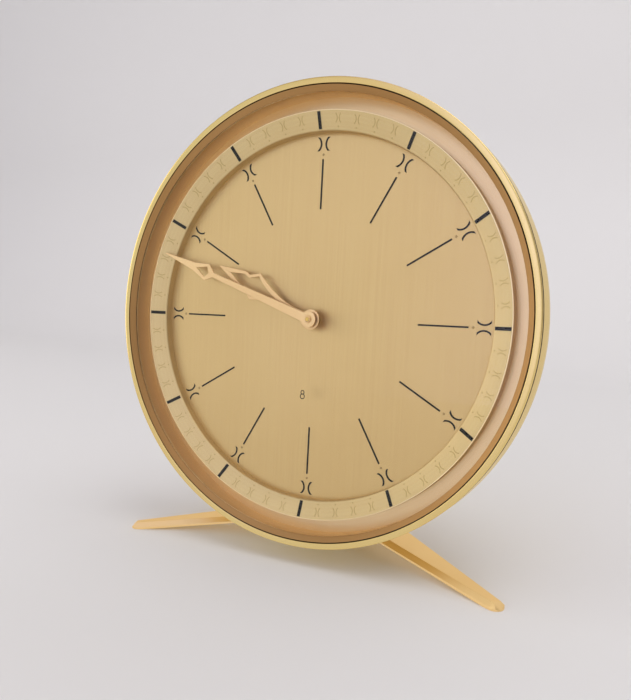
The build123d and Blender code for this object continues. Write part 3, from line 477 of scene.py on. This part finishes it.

# %% [markdown]
# The outside of the clock is brass in several finishes. The case is polished and lacquered, the legs are
# a little warmer and duller, the dial is brushed up and down, and the raised ring and the rim of the
# dial are turned and gilt; the rim of the dial is also lighter, which is painted reflection. The lip inside
# the bezel is the bezel's brass made browner, which is painted shade for the dark of the well. The bright
# edge of the raised ring is a near-white gilt, a painted highlight. The ring's marks and the dots
# on the dial are gilt too, a shade darker than their ground. One shiny brass for all of them would be
# quicker, but then only the shapes would tell the pieces apart.

# %% Metals of the outside
outside_metals = {
    "polished_brass": dict(
        clean=(220, 197, 138), warm=(214, 186, 122), rough=(0.18, 0.28), polish=POLISH
    ),
    "leg_brass": dict(
        clean=(238, 205, 150), warm=(232, 196, 136), rough=(0.36, 0.42), polish=POLISH / 8
    ),
    "satin_dial": dict(
        clean=(212, 184, 132),
        warm=(206, 176, 122),
        rough=(0.36, 0.44),
        stain=(9.0, 0.8),
        brushed=(BRUSH, 0.4, 0.00001),
        aniso=0.5,
    ),
    "gilt_ring": dict(
        clean=(218, 195, 146), warm=(212, 187, 136), rough=(0.46, 0.52), lathed=TOOL_LINES
    ),
    "well_brass": dict(
        clean=(255, 226, 172), warm=(248, 214, 156), rough=(0.4, 0.5), lathed=(700.0, 0.3, 0.000004)
    ),
    # painted shade: the lip is the bezel's brass made browner for the dark of the well
    "lip_brass_painted_shade": dict(
        clean=(172, 134, 88), warm=(164, 124, 78), rough=(0.46, 0.54), lathed=TOOL_LINES
    ),
    # painted reflection: the rim of the dial is a lighter copy of the dial's brass, for the pale light it reflects
    "flange_brass_painted_reflection": dict(
        clean=(232, 204, 164), warm=(224, 194, 150), rough=(0.34, 0.42), lathed=TOOL_LINES
    ),
    # painted highlight: a near-white gilt that draws the bright line on the edge of the raised ring
    "edge_gilt_painted_highlight": dict(
        clean=(255, 238, 200), warm=(250, 228, 184), rough=(0.4, 0.5), polish=POLISH
    ),
    "mark_gilt": dict(
        clean=(193, 167, 113), warm=(186, 158, 103), rough=(0.4, 0.5), polish=POLISH
    ),
    "dot_gilt": dict(
        clean=(176, 150, 104), warm=(168, 140, 94), rough=(0.4, 0.5), polish=POLISH
    ),
    "gilt_hand": dict(
        clean=(238, 206, 158), warm=(230, 194, 144), rough=(0.36, 0.46), polish=POLISH
    ),
}
finishes = {name: metal(name, **recipe) for name, recipe in outside_metals.items()}
print("outside metals", sorted(finishes))

# %% [markdown]
# At the back, the cover is turned and the key and knob are polished brass, a little yellower so that
# they stand off from it. The movement inside has finely brushed plates, polished wheels, bright steel
# screws and arbors, and springs of blued steel, as clockmakers finish them.

# %% Metals of the back and the movement
inside_metals = {
    "cover_brass": dict(
        clean=(228, 198, 136), warm=(220, 186, 120), rough=(0.24, 0.32), lathed=(1800.0, 0.2, 0.000002)
    ),
    "key_brass": dict(
        clean=(232, 200, 128), warm=(222, 184, 106), rough=(0.2, 0.3), polish=POLISH / 2
    ),
    "plate_brass": dict(
        clean=(220, 190, 122), warm=(210, 176, 106), rough=(0.28, 0.4), brushed=(FINE_BRUSH, 0.6, 0.000006)
    ),
    "wheel_brass": dict(
        clean=(222, 190, 114), warm=(212, 176, 98), rough=(0.2, 0.32), polish=POLISH
    ),
    "bright_steel": dict(
        clean=(200, 202, 206), warm=(188, 190, 194), rough=(0.22, 0.34), brushed=(BRUSH, 0.6, 0.000006)
    ),
    "blued_spring": dict(
        clean=(104, 112, 130), warm=(92, 98, 118), rough=(0.24, 0.34), polish=POLISH
    ),
}
finishes.update({name: metal(name, **recipe) for name, recipe in inside_metals.items()})
print("metals of the back and inside", sorted(inside_metals))

# %% [markdown]
# The black of the hour marks is a thin enamel, filled into cut lines or printed and baked. It isn't a
# metal, so it has a shader of its own. One flat black would look like a hole in the dial, so it drifts
# between two dark browns on a small scale.

# %% Black enamel
# the same black also serves below as the painted shade in the bezel's groove and joint
enamel, wires, shader, _ = new_material("black_enamel")
shader.inputs["Roughness"].default_value = 0.4
shader.inputs["Specular IOR Level"].default_value = 0.15
patches = wires.group("soft_stain")
patches.inputs["Scale"].default_value = 400.0
ink = wires.add("ShaderNodeMix", data_type="RGBA")
ink.inputs["A"].default_value = linear(9, 7, 6)
ink.inputs["B"].default_value = linear(18, 15, 13)
wires.join(patches.outputs["Mask"], ink.inputs["Factor"])
wires.join(ink.outputs["Result"], shader.inputs["Base Color"])
finishes["black_enamel"] = enamel
print("made", enamel.name)

# %% [markdown]
# A flat disc of clear glass covers the dial. Thin smears make it a little rough in places. Its index
# is lower than that of real glass, which keeps the room's reflection from hiding the dial. A plain
# glass shader would also keep the lamps off the dial, so this one lets shadow rays straight through.
# The hands then cast their shadow on the dial.

# %% Clear glass
clear, wires, shader, surface = new_material("clear_glass")
shader.inputs["Transmission Weight"].default_value = 1.0
shader.inputs["IOR"].default_value = 1.25
shader.inputs["Base Color"].default_value = (0.98, 0.98, 0.97, 1.0)
haze = wires.group("soft_stain")
haze.inputs["Scale"].default_value = 25.0
smear = wires.add("ShaderNodeMapRange", {"To Min": 0.0, "To Max": 0.02})
wires.join(haze.outputs["Mask"], smear.inputs["Value"])
wires.join(smear.outputs[0], shader.inputs["Roughness"])
through = wires.add("ShaderNodeBsdfTransparent")
either = wires.add("ShaderNodeMixShader")
rays = wires.add("ShaderNodeLightPath")
wires.join(rays.outputs["Is Shadow Ray"], either.inputs[0])
wires.join(shader.outputs[0], either.inputs[1])
wires.join(through.outputs[0], either.inputs[2])
wires.join(either.outputs[0], surface)
finishes["clear_glass"] = clear
print("made", clear.name)

# %% [markdown]
# The record names a material slot for each solid, and the finishes carry the same names. One solid
# differs: the end of the cannon pinion shows in the hub of the hands, where it is gilt as they are.

# %% Dress the solids
slot_of = {entry["node"]: entry["material_slot"] for entry in frame["record"]["subparts"]}
body_of = {n: b for b, members in frame["record"]["behaviour"]["bodies"].items() for n in members}
finish_of = {**slot_of, "cannon_pinion": "gilt_hand"}
for name, obj in nodes.items():
    obj.data.materials.clear()
    obj.data.materials.append(finishes[finish_of[name]])
print("finished", len(nodes), "solids with", len(finishes), "materials")

# %% [markdown]
# ## Turned pieces
# The bezel, the ring and the dial come off a lathe, and so do their meshes: a closed outline of
# radius and height is spun about the dial's axis. Each corner of the outline can be rounded first,
# because a polished edge always shows a thin line of light.

# %% Outlines for the lathe
MOST_OF_ARM = 0.45


def rounded(corners, steps=5):
    """Closed outline from (radius, height, cut): a corner with a cut becomes a curve of that size."""
    outline = [Vector(corner[:2]) for corner in corners]
    points = []
    for k, (here, corner) in enumerate(zip(outline, corners)):
        cut = corner[2]
        if not cut:
            points.append(here)
            continue
        ends = []
        for other in (outline[k - 1], outline[(k + 1) % len(outline)]):
            arm = other - here
            ends.append(here + arm.normalized() * min(cut, arm.length * MOST_OF_ARM))
        for s in range(steps + 1):
            t = s / steps
            points.append((1 - t) ** 2 * ends[0] + 2 * t * (1 - t) * here + t * t * ends[1])
    return points


def band(inner, outer, low, high, inner_cut=0, outer_cut=0):
    """Corners of a plain ring; the cuts round its two front edges."""
    return [(inner, low, 0), (outer, low, 0), (outer, high, outer_cut), (inner, high, inner_cut)]


print("a plain ring has", len(rounded(band(1, 2, 0, 1))), "corners")

# %% [markdown]
# Every new piece ends in the same way. It gets a map that runs up the dial, for the brushed lines, and
# smooth shading with its sharp edges kept. Then it gets the finish of its material slot or a finish of its
# own, is tied to the body that carries it, and is put in the place of the solids that it stands for.


# %% Pieces on the frame
def new_piece(name, bm, material, body, *replaced, sharp=35.0, finish=None):
    mesh = bpy.data.meshes.new(name)
    bm.normal_update()
    brush = bm.loops.layers.uv.new("brush")
    for face in bm.faces:
        for loop in face.loops:
            loop[brush].uv = (TO_DIAL @ loop.vert.co).xy
    bm.to_mesh(mesh)
    bm.free()
    for face in mesh.polygons:
        face.use_smooth = True
    mesh.set_sharp_from_angle(angle=math.radians(sharp))
    mesh.materials.append(finishes[finish or material])
    obj = bpy.data.objects.new(name, mesh)
    scene.collection.objects.link(obj)
    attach(obj, body)
    if replaced:
        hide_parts(*replaced)
    return obj


print("pieces can take any of", len(finishes), "finishes")

# %% [markdown]
# The lathe itself sets the outline at many angles about the axis and joins each copy to the next. A
# screw modifier could do the same, but then the piece would first have to be turned to the dial's slant.


# %% Lathe
def turned(name, corners, material, body, *replaced, around=288, finish=None):
    outline = rounded(corners)
    bm = bmesh.new()
    columns = []
    for k in range(around):
        angle = 2 * math.pi * k / around
        cos, sin = math.cos(angle), math.sin(angle)
        columns.append([bm.verts.new(CLOCK @ Vector((r * cos, r * sin, z))) for r, z in outline])
    count = len(outline)
    for k in range(around):
        a, b = columns[k], columns[(k + 1) % around]
        for i in range(count):
            j = (i + 1) % count
            bm.faces.new((a[i], a[j], b[j], b[i]))
    bmesh.ops.recalc_face_normals(bm, faces=bm.faces)
    new_piece(name, bm, material, body, *replaced, finish=finish)


print("lathe ready")

# %% [markdown]
# The rim of the clock is bezel, glass, well and case, one inside the other. Their solids give most of
# the sizes. The gaps between them and the bevels are small sizes of the dressing alone.

# %% Sizes of the rim
LIP_IN, CASE_R, SKIRT_BACK, BEZEL_FRONT = extent("bezel")
LINE_IN, LINE_OUT, GROOVE_FLOOR, LINE_FRONT = extent("bezel_line")
GLASS_R, GLASS_BACK, GLASS_FRONT = extent("glass")[1:]
WELL_IN, WELL_OUT, WELL_BACK, WELL_FRONT = extent("well_ring")
JOINT_BACK = extent("case_shell")[3]
LINE_PLAY, GLASS_PLAY, JOINT_PLAY = 0.05, 0.1, 0.04
JOINT_WIDTH, JOINT_BEVEL = 0.5, 1.2
LIP_EDGE = 0.1
GROOVE_IN, GROOVE_OUT = LINE_IN - LINE_PLAY, LINE_OUT + LINE_PLAY
SKIRT_IN, SKIRT_OUT = GLASS_R + GLASS_PLAY, WELL_OUT
BEZEL_BACK = JOINT_BACK + JOINT_WIDTH
print("rim from radius", LIP_IN, "to", CASE_R, "and up to height", BEZEL_FRONT)

# %% [markdown]
# The bezel is a flat polished ring that is pressed onto the case. Its skirt reaches down round the edge of
# the glass and centres it, and a groove runs round its face. Inside of the groove the lip slopes down to
# the glass. The lip is a piece of its own, so that it can have its browner finish, which is painted shade.

# %% Bezel and lip
bezel_corners = [
    (GROOVE_IN, GLASS_FRONT, 0),
    (GROOVE_IN, GROOVE_FLOOR, 0),
    (GROOVE_OUT, GROOVE_FLOOR, 0),
    (GROOVE_OUT, BEZEL_FRONT, 0.3),
    (CASE_R, BEZEL_FRONT, 0.7),
    (CASE_R, BEZEL_BACK + JOINT_BEVEL, 0.12),
    (CASE_R - JOINT_BEVEL / 2, BEZEL_BACK, 0.12),
    (SKIRT_OUT, BEZEL_BACK, 0),
    (SKIRT_OUT, SKIRT_BACK, 0),
    (SKIRT_IN, SKIRT_BACK, 0),
    (SKIRT_IN, GLASS_FRONT, 0),
]
turned("bezel_ring", bezel_corners, "polished_brass", "case", "bezel")
lip_corners = [
    (LIP_IN, GLASS_FRONT, 0),
    (GROOVE_IN, GLASS_FRONT, 0),
    (GROOVE_IN, BEZEL_FRONT - LIP_EDGE, 0.12),
    (LIP_IN, GLASS_FRONT + LIP_EDGE, 0.05),
]
# the lip's browner finish is painted shade
turned("bezel_lip", lip_corners, "polished_brass", "case", "bezel", finish="lip_brass_painted_shade")
print("bezel with", len(bezel_corners), "corners and lip with", len(lip_corners))

# %% [markdown]
# A thin black ring lies in the groove. It is painted shade, the shade of the groove drawn as a black line. A
# narrow joint is left between bezel and case. A black ring fills it, and the back edge of the bezel is bevelled,
# so that the joint shows as a line from the side. That ring is painted shade too: the camera sees the side at
# so flat an angle that the shade of an empty joint wouldn't show.

# %% Black line and joint
line_corners = band(LINE_IN, LINE_OUT, GROOVE_FLOOR, LINE_FRONT)
# painted shade: a black ring in the groove
turned("bezel_groove_shade_line", line_corners, "black_enamel", "case", "bezel_line")
# painted shade: a black ring in the joint
joint_corners = band(
    SKIRT_OUT + LINE_PLAY, CASE_R - LINE_PLAY, JOINT_BACK + JOINT_PLAY, BEZEL_BACK - JOINT_PLAY
)
turned("bezel_joint_shade_line", joint_corners, "black_enamel", "case")
print("black line at radius", LINE_IN, "and joint at height", JOINT_BACK)

# %% [markdown]
# Below the glass a plain ring, the well, stands on the rim of the dial plate. The plate is one brass disc.
# Its middle is brushed and its rim, outside the raised ring, is left as turned. The rim's finish is also
# lighter than the dial's, which is painted reflection for the pale light along it. So it is made as two
# pieces with a finish each, and the seam between them hides under the raised ring.

# %% Well, dial and rim of the dial
DIAL_BORE, DIAL_R, DIAL_BACK, DIAL_FRONT = extent("dial_plate")
DIAL_SPLIT = 76.0
well_corners = band(WELL_IN, WELL_OUT, WELL_BACK, WELL_FRONT, inner_cut=0.2, outer_cut=0.1)
turned("dial_well", well_corners, "well_brass", "case", "well_ring")
dial_corners = band(DIAL_BORE, DIAL_SPLIT, DIAL_BACK, DIAL_FRONT, inner_cut=0.1)
turned("dial_face", dial_corners, "satin_dial", "case", "dial_plate")
flange_corners = band(DIAL_SPLIT, DIAL_R, DIAL_BACK, DIAL_FRONT)
# the rim's lighter finish is painted reflection
turned("dial_flange", flange_corners, "satin_dial", "case", "dial_plate", finish="flange_brass_painted_reflection")
print("dial split at radius", DIAL_SPLIT, "under the ring")

# %% [markdown]
# The raised ring carries the hour bars and slopes down towards the middle of the dial, as a dish does. Its
# outer top edge shows a thin bright line all the way round. That line is a painted highlight: a near-white
# gilt, which needs a surface of its own, so this rim is a thin second piece.

# %% Raised ring and its rim
RING_IN, RING_OUT, RING_FOOT, RING_HIGH = extent("minute_ring")
RING_LOW, RING_EDGE = 3.3, 0.35
RIM_DROP, RIM_INSET = 0.15, 0.1
ring_corners = [
    (RING_IN, RING_FOOT, 0),
    (RING_OUT, RING_FOOT, 0),
    (RING_OUT, RING_HIGH - RING_EDGE, 0.3),
    (RING_OUT - RING_EDGE, RING_HIGH, 0.3),
    (RING_IN + RING_EDGE, RING_LOW, 0.15),
    (RING_IN, RING_LOW - RING_EDGE, 0.15),
]
turned("raised_ring", ring_corners, "gilt_ring", "case", "minute_ring")
rim_corners = [
    (RING_OUT - RING_EDGE, RING_HIGH - RING_EDGE, 0),
    (RING_OUT, RING_HIGH - RING_EDGE, 0),
    (RING_OUT, RING_HIGH - RIM_DROP, 0.08),
    (RING_OUT - RIM_INSET, RING_HIGH, 0.08),
    (RING_OUT - RING_EDGE, RING_HIGH, 0),
]
# the rim's near-white finish is a painted highlight
turned("ring_rim_painted_highlight", rim_corners, "gilt_ring", "case", "minute_ring", finish="edge_gilt_painted_highlight")
print("ring from radius", RING_IN, "to", RING_OUT, "rises from", RING_LOW, "to", RING_HIGH)

# %% [markdown]
# ## Fine marks on the dial
# Printed or applied marks are thin, but they do stand up from their ground. A line becomes a ribbon with
# slanted sides and a dot becomes a low dome. Both are drawn flat, across and along the direction of an
# hour, so that one drawing serves for all hours.

# %% Ribbons and domes
RIBBON_TOP = 0.8
DOME_STEPS = ((1.0, 0.0), (0.85, 0.55), (0.5, 0.9))


def ribbon(bm, line, width, height, to_room):
    sections = ((-1, 0), (-RIBBON_TOP, height), (RIBBON_TOP, height), (1, 0))
    rails = []
    for k, point in enumerate(line):
        ahead = Vector(line[min(k + 1, len(line) - 1)]) - Vector(line[max(k - 1, 0)])
        side = Vector((-ahead.y, ahead.x)).normalized() * width / 2
        corners = [(Vector(point) + side * share, lift) for share, lift in sections]
        rails.append([bm.verts.new(to_room(p.x, p.y, lift)) for p, lift in corners])
    for a, b in zip(rails, rails[1:]):
        for i in range(4):
            j = (i + 1) % 4
            bm.faces.new((a[i], a[j], b[j], b[i]))
    bm.faces.new(reversed(rails[0]))
    bm.faces.new(rails[-1])


def dome(bm, along, size, height, to_room, around=12):
    angles = [2 * math.pi * k / around for k in range(around)]
    rims = []
    for share, lift in DOME_STEPS:
        reach = size * share
        spots = [(reach * math.cos(a), along + reach * math.sin(a)) for a in angles]
        rims.append([bm.verts.new(to_room(*spot, lift * height)) for spot in spots])
    top = bm.verts.new(to_room(0.0, along, height))
    for a, b in zip(rims, rims[1:]):
        for k in range(around):
            j = (k + 1) % around
            bm.faces.new((a[k], a[j], b[j], b[k]))
    for k in range(around):
        bm.faces.new((rims[-1][k], rims[-1][(k + 1) % around], top))
    bm.faces.new(reversed(rims[0]))


print("a dome has", len(DOME_STEPS), "rims below its top")

# %% [markdown]
# `placer` takes such a drawing to the room: it turns it to its hour and lifts it to the surface that it
# lies on, which is either the slope of the ring or the flat face of the dial.


# %% Places for the marks
def placer(angle, level):
    """to_room(across, along, lift) for a mark at this angle; level gives the ground at a radius."""
    turn = Matrix.Rotation(-angle, 4, "Z")

    def to_room(across, along, lift):
        return CLOCK @ (turn @ Vector((across, along, level(along) + lift)))

    return to_room


def ring_level(along):
    run = RING_OUT - RING_IN - 2 * RING_EDGE
    return RING_LOW + (along - RING_IN - RING_EDGE) * (RING_HIGH - RING_LOW) / run


def face_level(along):
    return 0.0


print("ring stands", round(ring_level(RING_IN + RING_EDGE), 2), "mm above the dial at its inner edge")

# %% [markdown]
# Between two hour bars the ring carries four faint marks, gilt on gilt, and each is two short arcs back
# to back with a dot below them. A bump in the finish could suggest them; as ribbons and domes on the
# slope of the ring they also catch the light from the side.

# %% Minute marks
ARC_MIDDLE, ARC_LENGTH, ARC_GAP, ARC_BOW, ARC_STEPS = 76.6, 3.2, 0.8, 0.7, 10
MARK_WIDTH, MARK_HEIGHT = 0.34, 0.05
MINUTE_DOT_AT, MINUTE_DOT_R, MINUTE_DOT_HEIGHT = 73.7, 0.3, 0.06


def short_arc(side):
    points = []
    for k in range(ARC_STEPS + 1):
        t = 2 * k / ARC_STEPS - 1
        points.append((side * (ARC_GAP / 2 + ARC_BOW * t * t), ARC_MIDDLE + t * ARC_LENGTH / 2))
    return points


bm = bmesh.new()
for minute in range(60):
    if minute % 5 == 0:
        continue
    on_ring = placer(math.radians(6 * minute), ring_level)
    for side in (-1, 1):
        ribbon(bm, short_arc(side), MARK_WIDTH, MARK_HEIGHT, on_ring)
    dome(bm, MINUTE_DOT_AT, MINUTE_DOT_R, MINUTE_DOT_HEIGHT, on_ring)
bmesh.ops.recalc_face_normals(bm, faces=bm.faces)
new_piece("minute_marks", bm, "gilt_ring", "case", finish="mark_gilt")
print("minute marks at radius", ARC_MIDDLE)

# %% [markdown]
# A small raised dot stands between each hour line and its arcs. On the real dial it is a pin that is set
# into the plate and gilt. A low dome is enough, because only its top stands out of the plate.

# %% Hour dots
HOUR_DOT_AT, HOUR_DOT_R, HOUR_DOT_HEIGHT = 64.2, 0.5, 0.16
bm = bmesh.new()
for hour in range(12):
    dome(bm, HOUR_DOT_AT, HOUR_DOT_R, HOUR_DOT_HEIGHT, placer(math.radians(30 * hour), face_level))
bmesh.ops.recalc_face_normals(bm, faces=bm.faces)
new_piece("hour_dots", bm, "gilt_hand", "case", finish="dot_gilt")
print("hour dots at radius", HOUR_DOT_AT)

# %% [markdown]
# The lower half of the dial has a plain figure for the days that the spring runs, drawn as two loops.
# It is printed on the inside of the glass, so its ribbon lies just behind the glass.

# %% Day figure
FIGURE_LOOPS = ((-28.65, 0.72), (-30.25, 0.92))
FIGURE_BEHIND_GLASS = 0.06
LOOP_STEPS = 24


def figure_level(along):
    return GLASS_BACK - FIGURE_BEHIND_GLASS


bm = bmesh.new()
loop_angles = [2 * math.pi * k / LOOP_STEPS for k in range(LOOP_STEPS + 1)]
for middle, size in FIGURE_LOOPS:
    loop = [(size * math.sin(a), middle + size * math.cos(a)) for a in loop_angles]
    ribbon(bm, loop, MARK_WIDTH, MARK_HEIGHT, placer(0.0, figure_level))
bmesh.ops.recalc_face_normals(bm, faces=bm.faces)
new_piece("day_figure", bm, "black_enamel", "case")
print("day figure of", len(FIGURE_LOOPS), "loops")

# %% [markdown]
# ## Legs, hands and small fittings
# These are flat pieces with straight edges, sawn or stamped from sheet and then filed, so their solids
# only need their edges broken. The solid's own mesh is copied, its flat triangles are joined back into
# whole faces, and every sharp edge gets a narrow rounded bevel. A bevel in the shader would be shorter,
# but an exported model loses it. Weighting the normals by area keeps the large faces flat.

# %% Soft edges
SAME_PLACE, FLAT_TURN, SHARP_TURN = 1e-7, 1.0, 25


def soften(bm, width, least_turn):
    """Rounds the edges that turn by more than least_turn degrees; width is in millimetres."""
    turn = math.radians(least_turn)
    sharp = [e for e in bm.edges if len(e.link_faces) == 2 and e.calc_face_angle() > turn]
    bmesh.ops.bevel(
        bm, geom=sharp, offset=width * MM, segments=2, profile=0.5, affect="EDGES", clamp_overlap=True
    )


def soft_edged(node, width, finish):
    bm = bmesh.new()
    bm.from_mesh(nodes[node].data)
    bmesh.ops.remove_doubles(bm, verts=bm.verts, dist=SAME_PLACE)
    bmesh.ops.dissolve_limit(bm, angle_limit=math.radians(FLAT_TURN), verts=bm.verts, edges=bm.edges)
    soften(bm, width, SHARP_TURN)
    bmesh.ops.triangulate(bm, faces=[f for f in bm.faces if len(f.verts) > 4])
    piece = new_piece(node + "_soft", bm, slot_of[node], body_of[node], node, sharp=60.0, finish=finish)
    flats = piece.modifiers.new("even_flats", "WEIGHTED_NORMAL")
    flats.keep_sharp = True


print("edges that turn by more than", SHARP_TURN, "degrees are softened")

# %% [markdown]
# How far an edge is broken depends on the piece: the legs and the key are handled and get wider edges,
# and the thin hands get narrow ones, because a wide bevel would eat their bars away.

# %% Soft-edged legs, hands and fittings
soft_widths = {
    "leg_right": 0.3,
    "leg_left": 0.3,
    "leg_rear": 0.3,
    "minute_hand": 0.12,
    "hour_hand": 0.12,
    "hand_nut": 0.15,
    "winding_key": 0.3,
    "setting_knob": 0.1,
    "back_cover": 0.3,
    "stand_hub": 0.25,
}
own_finish = {"winding_key": "key_brass", "setting_knob": "key_brass"}
for node, width in soft_widths.items():
    soft_edged(node, width, own_finish.get(node))
print("soft edges on", sorted(soft_widths))

# %% [markdown]
# ## Cover screws
# Four steel screws hold the back cover. A screw is built up from straight prisms with round outlines. A
# slot could be cut from a whole head with a boolean, but that leaves untidy faces to bevel.


# %% Prisms and round outlines
def prism(bm, outline, low, high):
    ends = [[bm.verts.new(CLOCK @ Vector((x, y, z))) for x, y in outline] for z in (low, high)]
    count = len(outline)
    for k in range(count):
        j = (k + 1) % count
        bm.faces.new((ends[0][k], ends[0][j], ends[1][j], ends[1][k]))
    bm.faces.new(reversed(ends[0]))
    bm.faces.new(ends[1])


def arc_points(radius, start, end, steps):
    angles = [start + (end - start) * k / steps for k in range(steps + 1)]
    return [(radius * math.cos(a), radius * math.sin(a)) for a in angles]


def moved(outline, spot, turn):
    cos, sin = math.cos(turn), math.sin(turn)
    return [(spot[0] + x * cos - y * sin, spot[1] + x * sin + y * cos) for x, y in outline]


print("half a circle in 4 steps has", len(arc_points(1.0, 0.0, math.pi, steps=4)), "points")

# %% [markdown]
# A screw head is turned first and its slot is sawn after, so the slot leaves two half-round lands on one
# disc. Each slot stops at its own angle, as on tightened screws.

# %% Slotted screw heads
HEAD_OUT, SHANK_END = extent("cover_screws")[2:]
HEAD_SEAT = extent("back_cover")[2]
HEAD_R, SHANK_R, SCREW_RING = 1.7, 0.9, 43.0
SLOT_HALF, SLOT_DEPTH = 0.25, 0.4
SLOT_TURNS = (0.3, 1.2, 2.2, 0.8)
HEAD_SOFT, HEAD_TURN = 0.1, 60
slot_floor = HEAD_OUT + SLOT_DEPTH
land = math.asin(SLOT_HALF / HEAD_R)
head = arc_points(HEAD_R, 0.0, 2 * math.pi, steps=36)[:-1]
shank = arc_points(SHANK_R, 0.0, 2 * math.pi, steps=24)[:-1]
half_head = arc_points(HEAD_R, land, math.pi - land, steps=18)
bm = bmesh.new()
for k, slot_turn in enumerate(SLOT_TURNS):
    corner = math.radians(45 + 90 * k)
    spot = (SCREW_RING * math.cos(corner), SCREW_RING * math.sin(corner))
    prism(bm, moved(head, spot, 0.0), slot_floor, HEAD_SEAT)
    prism(bm, moved(shank, spot, 0.0), HEAD_SEAT, SHANK_END)
    for side in (0.0, math.pi):
        prism(bm, moved(half_head, spot, slot_turn + side), HEAD_OUT, slot_floor)
bmesh.ops.recalc_face_normals(bm, faces=bm.faces)
soften(bm, HEAD_SOFT, HEAD_TURN)
new_piece("cover_screw_heads", bm, "bright_steel", "case", "cover_screws")
print(len(SLOT_TURNS), "screw heads on a ring of radius", SCREW_RING)
